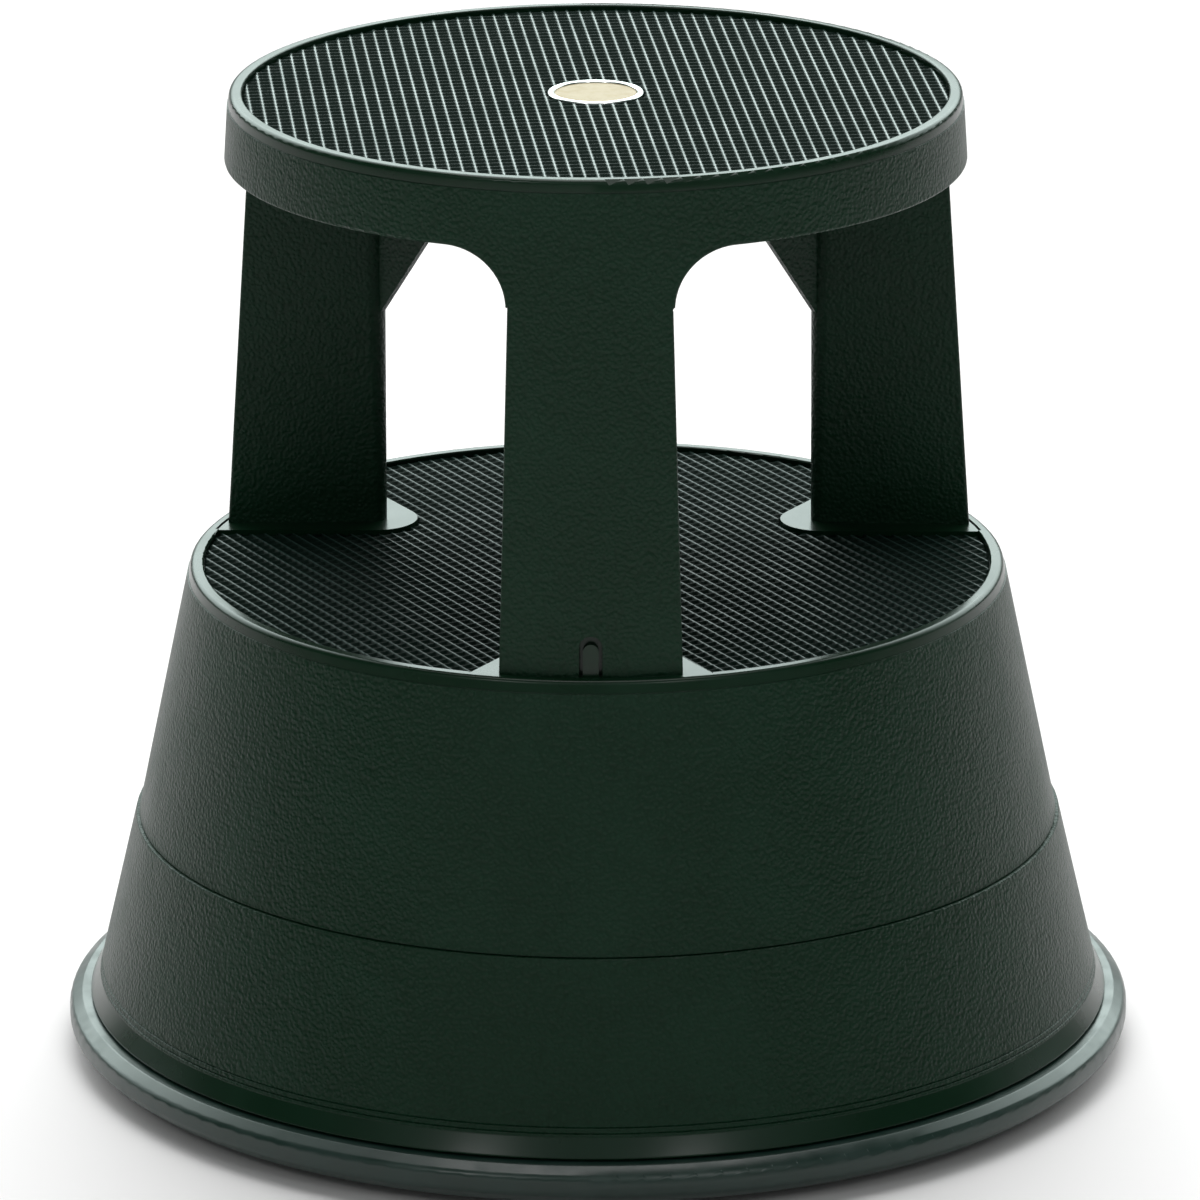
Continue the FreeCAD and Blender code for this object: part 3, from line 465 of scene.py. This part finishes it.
def wedge_distance(x, y, direction):
    """Distance to a V platform along a direction: two half planes that meet in a rounded nose."""
    along = x * math.cos(direction) + y * math.sin(direction) - island_nose_centre
    aside = np.abs(-x * math.sin(direction) + y * math.cos(direction))
    side = aside * math.cos(island_half_angle) - along * math.sin(island_half_angle)
    nose = np.hypot(along, aside)
    before = along * math.cos(island_half_angle) + aside * math.sin(island_half_angle) < 0
    return np.where(before, nose, side) - island_nose - mat_gap


def lower_outline(x, y):
    """Distance outside the lower mat: outside the circle, or inside one of the three platforms."""
    outside = np.hypot(x, y) - lower_mat_radius
    for direction in leg_directions:
        outside = np.maximum(outside, -wedge_distance(x, y, direction))
    return outside


top_mat_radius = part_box("top_tread")[1].x
badge_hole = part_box("badge_bezel")[1].x + mat_gap
lower_corners = np.array([corner.co[:2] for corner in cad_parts["lower_tread"].data.vertices])
lower_mat_radius = float(np.hypot(*lower_corners.T).max())
print("mat radii", round(top_mat_radius, 4), round(lower_mat_radius, 4))


# %% A mat with a net of ribs
def ridge(distance):
    """Height of a rounded rib, 1 on its middle line and 0 at its foot, repeated by the pitch."""
    near = np.abs((distance + rib_pitch / 2) % rib_pitch - rib_pitch / 2)
    return np.interp(near, [0, rib_shoulder, rib_foot], [1.0, shoulder_share, 0.0])


def onto_outline(points, outline, steps=4):
    """Moves points straight onto the line where outline is 0, down its slope."""
    small = 0.01 * MM
    for _ in range(steps):
        x, y = points.T
        here = outline(x, y)
        slope = np.stack([outline(x + small, y) - outline(x - small, y),
                          outline(x, y + small) - outline(x, y - small)], 1)
        slope /= np.maximum(np.linalg.norm(slope, axis=1, keepdims=True), 1e-12)
        points = points - slope * here[:, None]
    return points


def ribbed_mat(name, outline, reach, base, top, turn):
    """One closed mat: z = top - rib height + the higher ridge, over a grid turned by an angle."""
    offsets = np.array([-rib_foot, -rib_shoulder, 0, rib_shoulder, rib_foot])
    count = int(reach / rib_pitch) + 2
    lines = (np.arange(-count, count + 1)[:, None] * rib_pitch + offsets).ravel()
    s, t = np.meshgrid(lines, lines, indexing="ij")
    c, n = math.cos(turn), math.sin(turn)
    flat = np.stack([(s * c - t * n).ravel(), (s * n + t * c).ravel()], 1)
    side = len(lines)
    corner = (np.arange(side - 1)[:, None] * side + np.arange(side - 1)).ravel()
    quads = np.stack([corner, corner + side, corner + side + 1, corner + 1], 1)
    middle = flat[quads].mean(1)
    quads = quads[outline(middle[:, 0], middle[:, 1]) < 0]
    edges = np.stack([quads, np.roll(quads, -1, 1)], 2).reshape(-1, 2)
    keys = np.sort(edges, 1)
    _, first, counts = np.unique(keys @ [side * side, 1], return_index=True, return_counts=True)
    border = edges[first[counts == 1]]
    rim = np.unique(border)
    flat[rim] = onto_outline(flat[rim], outline)
    s, t = flat[:, 0] * c + flat[:, 1] * n, flat[:, 1] * c - flat[:, 0] * n
    z = top - rib_height * (1 - np.maximum(ridge(s), cross_share * ridge(t)))
    used = np.unique(quads)
    fresh = np.full(len(flat), -1)
    fresh[used] = np.arange(len(used))
    low = np.full(len(flat), -1)
    low[rim] = len(used) + np.arange(len(rim))
    points = np.concatenate([np.column_stack([flat[used], z[used]]),
                             np.column_stack([flat[rim], np.full(len(rim), base)])])
    walls = np.stack([fresh[border[:, 1]], fresh[border[:, 0]], low[border[:, 0]], low[border[:, 1]]], 1)
    mesh = bpy.data.meshes.new(name)
    mesh.from_pydata(points.tolist(), [], np.concatenate([fresh[quads], walls]).tolist())
    mesh.shade_smooth()
    shape = bmesh.new()
    shape.from_mesh(mesh)
    shape.verts.ensure_lookup_table()
    bottom = [edge for edge in shape.edges if edge.is_boundary]
    bmesh.ops.triangle_fill(shape, edges=bottom, use_beauty=True, normal=(0, 0, -1))
    bmesh.ops.recalc_face_normals(shape, faces=shape.faces)
    shape.to_mesh(mesh)
    shape.free()
    mat = bpy.data.objects.new(name, mesh)
    bpy.context.scene.collection.objects.link(mat)
    print(name, "faces", len(mesh.polygons))
    return mat


# The darker green in the pits is painted shade, and the lighter green on the crests is a painted
# highlight.
pit_painted_shade = (0.0040, 0.0110, 0.0080)
crest_painted_highlight = (0.020, 0.042, 0.036)
pit_roughness = 0.60
crest_smoothing = 0.22
dust_roughness = 0.06


def tread_rubber(name, top, polish):
    """Rubber with matt pits and a thin polish on the rib crests, by the height under the crest. Its
    colour is a painted shade in the pits and a painted highlight on the crests.
    """
    finish = Finish(name)
    crest = finish.rise(finish.z, top - 0.30 * rib_height, top - 0.02 * rib_height)
    patchy = finish.rise(finish.noise(40.0, 4.0), 0.35, 0.7)
    # Painted shade in the pits, painted highlight on the crests.
    colour = finish.mix(crest, pit_painted_shade, crest_painted_highlight)
    rough = pit_roughness - crest_smoothing * crest + dust_roughness * patchy
    return finish.set(Base_Color=colour, Roughness=rough,
                      Coat_Weight=polish * crest * (1 - 0.3 * patchy), Coat_Roughness=0.24,
                      Specular_IOR_Level=0.02, Normal=finish.bump(finish.noise(1600.0), 0.03 * MM, 0.4))


net_turns = {"top_tread": math.radians(5.8), "lower_tread": math.radians(29.0)}
crest_polish = {"top_tread": 1.0, "lower_tread": 0.32}
outlines = {"top_tread": top_outline, "lower_tread": lower_outline}
for name, turn in net_turns.items():
    low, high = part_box(name)
    reach = max(high.x, high.y)
    mat = ribbed_mat(name + "_net", outlines[name], reach, low.z, high.z, turn)
    mat.data.materials.append(tread_rubber(name + "_rubber", high.z, crest_polish[name]).material)
    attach(mat, "stool")
    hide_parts(name)

# %% [markdown]
# ## Light and floor
#
# The plastic is nearly black, so it shows its shape almost only by what it reflects. Behind the stool
# stands a white backdrop, which draws the pale edges of the cones and the sheen of the treads. The
# room in front is dim, so the faces towards the camera stay dark. The world gives both: white round
# the direction of the backdrop, dim elsewhere. A soft panel hangs overhead, and two small ones stand
# left and right of the camera, which put the two glints on the front of the rubber ring.

# %% World, floor and lamps
def soft_panel(name, place, aim, size, power):
    """A rectangular area lamp at place that faces aim."""
    lamp = bpy.data.lights.new(name, "AREA")
    lamp.shape = "RECTANGLE"
    lamp.size, lamp.size_y = size
    lamp.energy = power
    panel = bpy.data.objects.new(name, lamp)
    panel.location = place
    towards = [a - p for a, p in zip(aim, place)]
    flat = math.hypot(towards[0], towards[1])
    panel.rotation_euler = (math.atan2(flat, -towards[2]), 0, math.atan2(-towards[0], towards[1]))
    bpy.context.scene.collection.objects.link(panel)


def white_room():
    """World: for reflections a bright band above the horizon, strongest behind the stool (+Y)."""
    world = bpy.data.worlds.new("white_room")
    world.use_nodes = True
    web = Web(world.node_tree)
    _, y, z = web.split(web.add("TexCoord", out="Generated"))
    band = web.rise(z, band_foot, band_foot + band_blend)
    behind = web.rise(y, backdrop_from, backdrop_full)
    ahead = web.rise(0 - y, window_from, window_full)
    room = room_dim + band * (room_behind * behind + room_front * ahead)
    seen = web.add("LightPath", out="Is Camera Ray")
    mirrored = web.add("LightPath", out="Is Glossy Ray")
    background = world.node_tree.nodes["Background"]
    web.feed(background.inputs["Strength"], room * (1 - seen) + seen)
    web.feed(background.inputs["Color"], web.mix(mirrored, (1.0, 1.0, 1.0), room_tint))
    bpy.context.scene.world = world


room_tint = (0.86, 1.0, 0.97)
room_dim = 0.06
room_front = 0.42
room_behind = 4.6
backdrop_from = 0.15
backdrop_full = 0.80
window_from = 0.25
window_full = 0.75
band_foot = 0.14
band_blend = 0.14
white_room()
soft_panel("left_panel", (-1.5, -3.0, 2.4), (0, 0, 0.1), (0.6, 0.6), 9)
soft_panel("right_panel", (1.3, -3.0, 2.4), (0, 0, 0.1), (0.6, 0.6), 8)
soft_panel("overhead_panel", (0.0, 0.3, 3.0), (0, 0, 0.2), (2.0, 2.0), 40)

floor_size = 12.0
floor_mesh = bpy.data.meshes.new("floor")
half = floor_size / 2
floor_corners = [(-half, -half, 0), (half, -half, 0), (half, half, 0), (-half, half, 0)]
floor_mesh.from_pydata(floor_corners, [], [(0, 1, 2, 3)])
floor = bpy.data.objects.new("floor", floor_mesh)
bpy.context.scene.collection.objects.link(floor)
floor_finish = Finish("floor_paper")
floor_tone = floor_finish.mix(floor_finish.noise(3.0), (0.83, 0.83, 0.828), (0.86, 0.86, 0.858))
floor_finish.set(Base_Color=floor_tone, Roughness=0.9, Specular_IOR_Level=0.1)
floor_mesh.materials.append(floor_finish.material)
